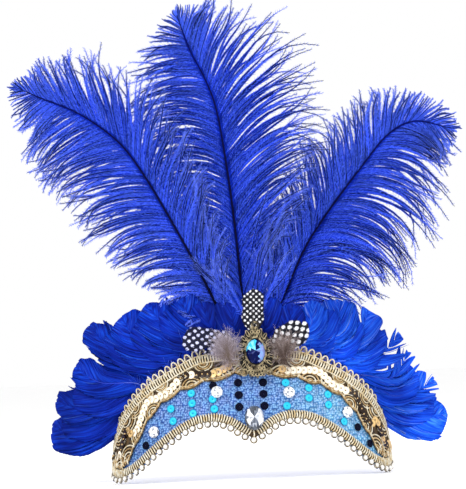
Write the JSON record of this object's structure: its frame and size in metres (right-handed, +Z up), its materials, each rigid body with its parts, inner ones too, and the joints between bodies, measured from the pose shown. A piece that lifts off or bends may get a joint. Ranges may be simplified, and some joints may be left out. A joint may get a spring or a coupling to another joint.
{
  "type": "showgirl feather headdress",
  "caption": "Curved blue forehead band edged with gold braid and set with sequins and stones, carrying a central medallion, fanned feathers and tall ostrich plumes.",
  "frame": {"origin": "on the axis of the head, level with the lower tips of the band, where the headdress is held up as on a head", "axes": "+Z up, the wearer faces -Y, +X to the viewer's right when seen from the front"},
  "size_m": [0.2828, 0.0716, 0.3026],
  "materials": {
    "lame": "crinkled metallic cloth over felt",
    "gold_braid": "gold thread braid with sequins",
    "bullion": "antique bullion wire",
    "sapphire_glass": "cut blue acrylic stone with foil back",
    "clear_crystal": "cut clear acrylic stone with foil back",
    "sequin_cyan": "metallic sequin",
    "sequin_navy": "metallic sequin",
    "goose_feather": "dyed goose feather",
    "guinea_feather": "guinea feather with white dots",
    "down": "soft marabou down",
    "ostrich_feather": "dyed ostrich feather"
  },
  "bodies": {
    "root": {"band": "lame", "down_left": "down", "down_right": "down", "drop_crystal": "clear_crystal", "goose_left_1": "goose_feather", "goose_left_2": "goose_feather", "goose_left_3": "goose_feather", "goose_left_4": "goose_feather", "goose_left_5": "goose_feather", "goose_left_6": "goose_feather", "goose_left_7": "goose_feather", "goose_right_1": "goose_feather", "goose_right_2": "goose_feather", "goose_right_3": "goose_feather", "goose_right_4": "goose_feather", "goose_right_5": "goose_feather", "goose_right_6": "goose_feather", "goose_right_7": "goose_feather", "guinea_centre": "guinea_feather", "guinea_left": "guinea_feather", "guinea_right": "guinea_feather", "lower_trim": "gold_braid", "medallion_setting": "bullion", "medallion_stone": "sapphire_glass", "plume_centre": "ostrich_feather", "plume_left": "ostrich_feather", "plume_right": "ostrich_feather", "rhinestone_1": "clear_crystal", "rhinestone_2": "clear_crystal", "rhinestone_3": "clear_crystal", "rhinestone_4": "clear_crystal", "sequin_cyan_1": "sequin_cyan", "sequin_cyan_10": "sequin_cyan", "sequin_cyan_11": "sequin_cyan", "sequin_cyan_12": "sequin_cyan", "sequin_cyan_13": "sequin_cyan", "sequin_cyan_14": "sequin_cyan", "sequin_cyan_2": "sequin_cyan", "sequin_cyan_3": "sequin_cyan", "sequin_cyan_4": "sequin_cyan", "sequin_cyan_5": "sequin_cyan", "sequin_cyan_6": "sequin_cyan", "sequin_cyan_7": "sequin_cyan", "sequin_cyan_8": "sequin_cyan", "sequin_cyan_9": "sequin_cyan", "sequin_navy_15": "sequin_navy", "sequin_navy_16": "sequin_navy", "sequin_navy_17": "sequin_navy", "sequin_navy_18": "sequin_navy", "sequin_navy_19": "sequin_navy", "sequin_navy_20": "sequin_navy", "sequin_navy_21": "sequin_navy", "sequin_navy_22": "sequin_navy", "sequin_navy_23": "sequin_navy", "sequin_navy_24": "sequin_navy", "upper_trim": "gold_braid"}
  },
  "joints": []
}
